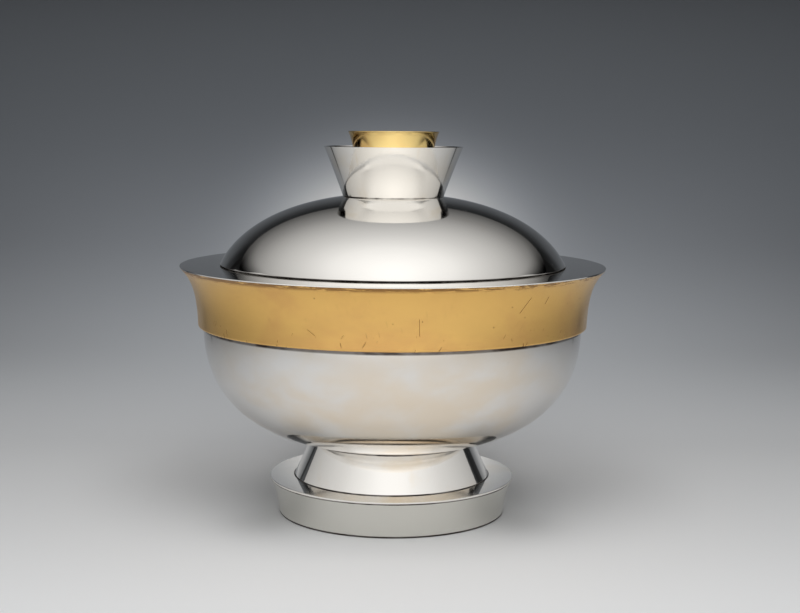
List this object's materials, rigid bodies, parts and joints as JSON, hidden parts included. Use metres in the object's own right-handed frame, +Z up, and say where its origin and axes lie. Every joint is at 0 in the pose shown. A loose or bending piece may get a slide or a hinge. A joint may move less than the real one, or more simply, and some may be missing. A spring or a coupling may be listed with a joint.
{
  "type": "soup tureen",
  "caption": "Round covered soup tureen on a flared foot, with a flat rim, a gilt flared rim band and a domed lift-off lid with a conical knob and gilt cup.",
  "frame": {"origin": "centre of the base ring's underside, on the table", "axes": "+Z up along the axis of revolution, +Y away from the viewer of the picture, +X to their right"},
  "size_m": [0.27, 0.27, 0.2439],
  "materials": {
    "polished_silver": "mirror-polished silver with fine wiping marks",
    "satin_silver": "soft polished silver, lightly tarnished in warm clouds",
    "gilt": "worn gilding on silver, satin with small pits and scratches",
    "brass_fixing": "plain turned brass"
  },
  "bodies": {
    "tureen": {"base_ring": "polished_silver", "foot_wire": "polished_silver", "foot_plate": "polished_silver", "foot_cone": "polished_silver", "bowl": "satin_silver", "rim_flange": "polished_silver", "gilt_band": "gilt"},
    "lid": {"lid_dome": "polished_silver", "lid_bezel": "polished_silver", "knob_shell": "polished_silver", "knob_deck": "polished_silver", "gilt_cup": "gilt", "finial_stud": "brass_fixing", "finial_washer": "brass_fixing", "finial_nut": "brass_fixing"}
  },
  "joints": [
    {"name": "lid_lift", "type": "slide", "parent": "tureen", "child": "lid", "axis": [0, 0, 1], "range_m": [0, 0.12]}
  ]
}
